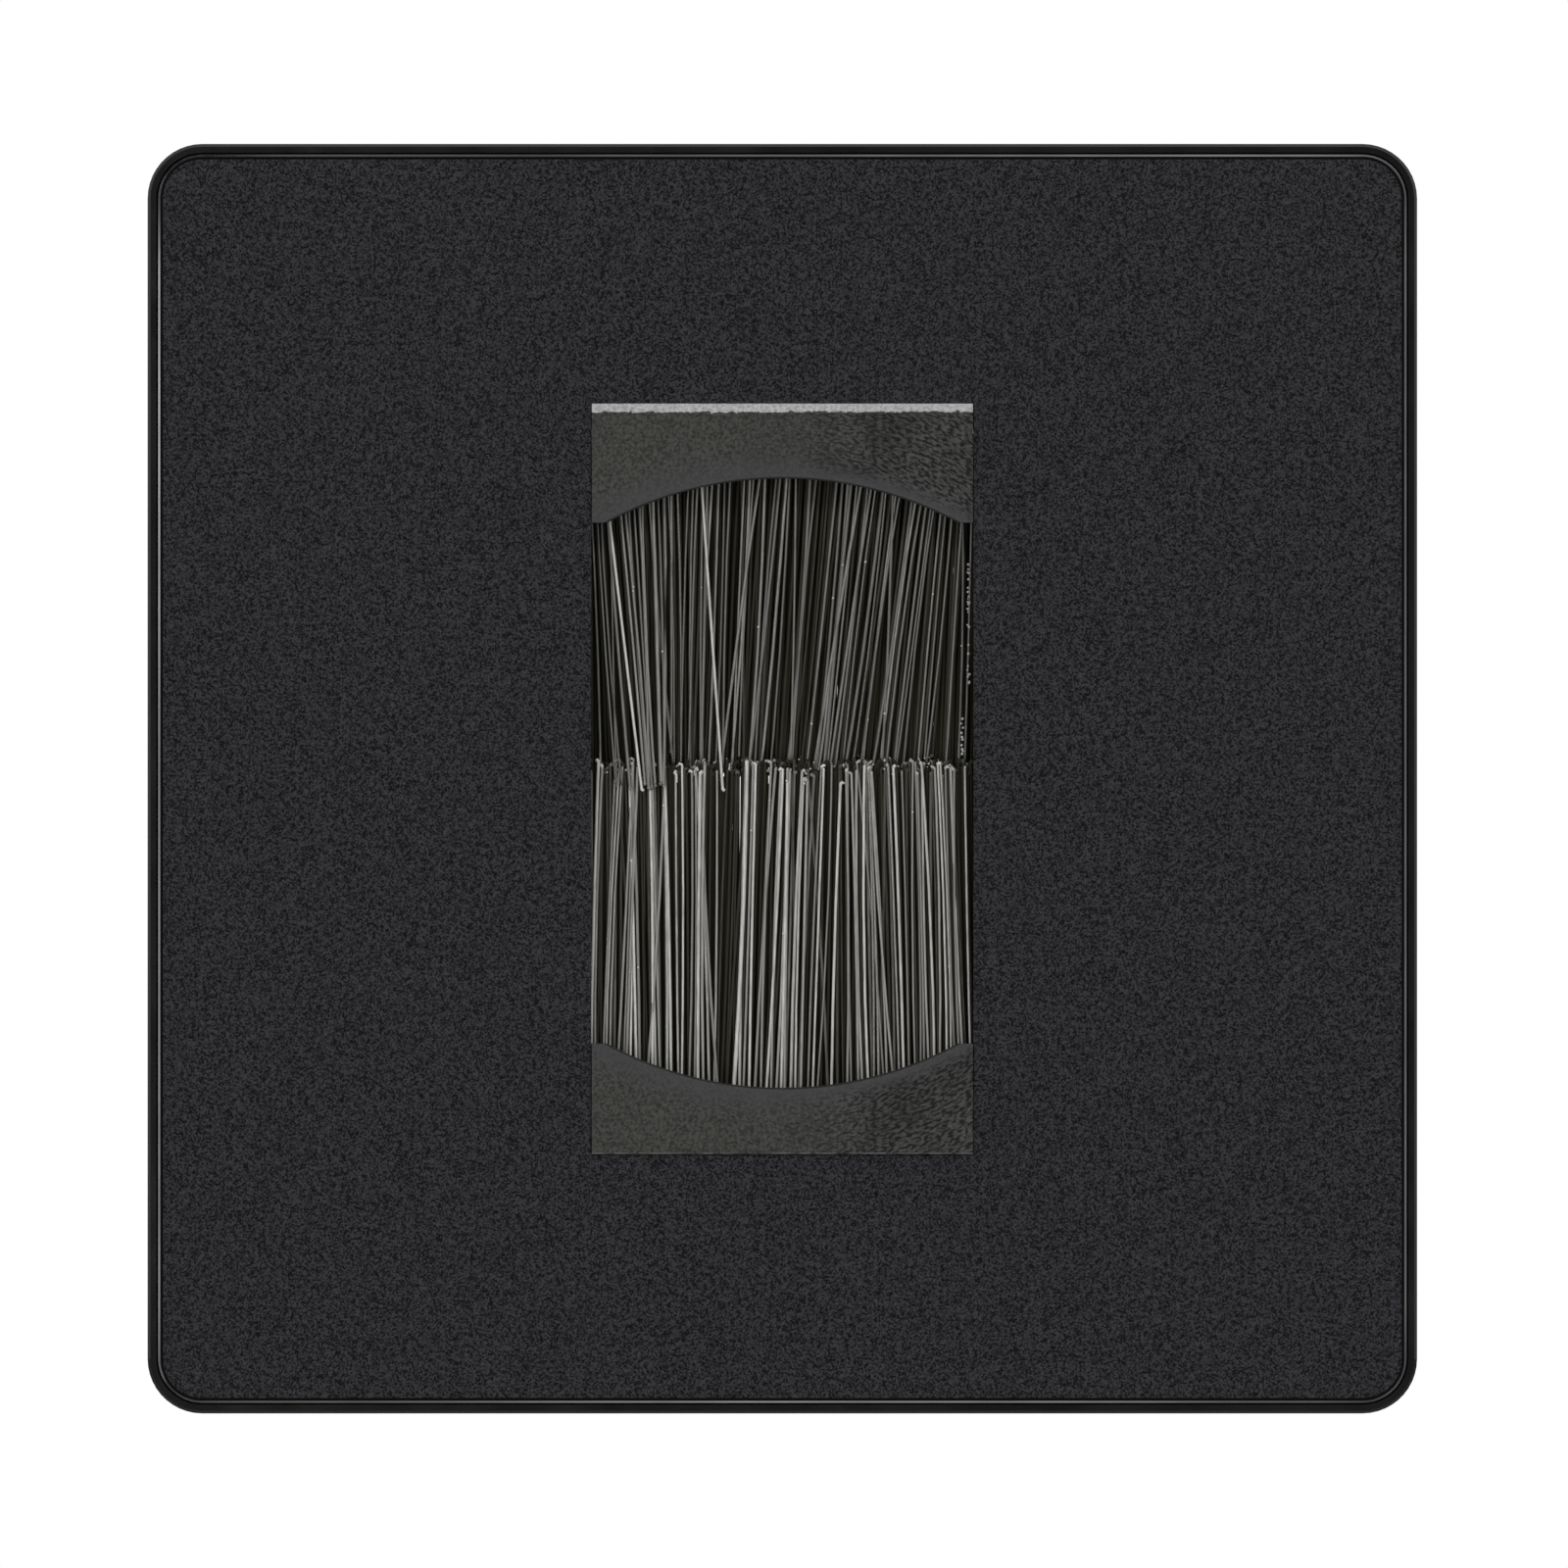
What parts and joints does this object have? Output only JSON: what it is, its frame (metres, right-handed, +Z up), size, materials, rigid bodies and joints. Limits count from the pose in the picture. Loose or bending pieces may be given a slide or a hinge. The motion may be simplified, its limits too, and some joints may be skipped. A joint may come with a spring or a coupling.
{
  "type": "brush wall plate",
  "caption": "Square single wall plate in matt black with a tall window, where rows of bristles close round cables passing through from the wall box.",
  "frame": {"origin": "centre of the wall surface, midway between the two fixing screws", "axes": "+Z up the wall, +X to the right as seen from the front, +Y into the wall; the front faces -Y"},
  "size_m": [0.086, 0.0282, 0.086],
  "materials": {
    "powder_coat": "fine-grained matt black powder coat",
    "gloss_rim": "glossy black moulding",
    "module_moulding": "olive black moulding with a light leather grain",
    "dark_moulding": "plain dark grey moulding",
    "nylon_filament": "glossy dark nylon filament with pale cut tips",
    "zinc_steel": "zinc plated",
    "screw_steel": "bright plated",
    "adhesive_film": "thin pale adhesive film"
  },
  "bodies": {
    "root": {"cover_plate": "powder_coat", "bond_film": "adhesive_film", "carrier_frame": "gloss_rim", "fixing_yoke": "dark_moulding", "module_housing": "module_moulding", "brush_retainer": "dark_moulding", "upper_channel": "zinc_steel", "lower_channel": "zinc_steel", "upper_core_wire": "zinc_steel", "lower_core_wire": "zinc_steel", "upper_bristles": "nylon_filament", "lower_bristles": "nylon_filament", "left_fixing_screw": "screw_steel", "right_fixing_screw": "screw_steel"}
  },
  "joints": []
}
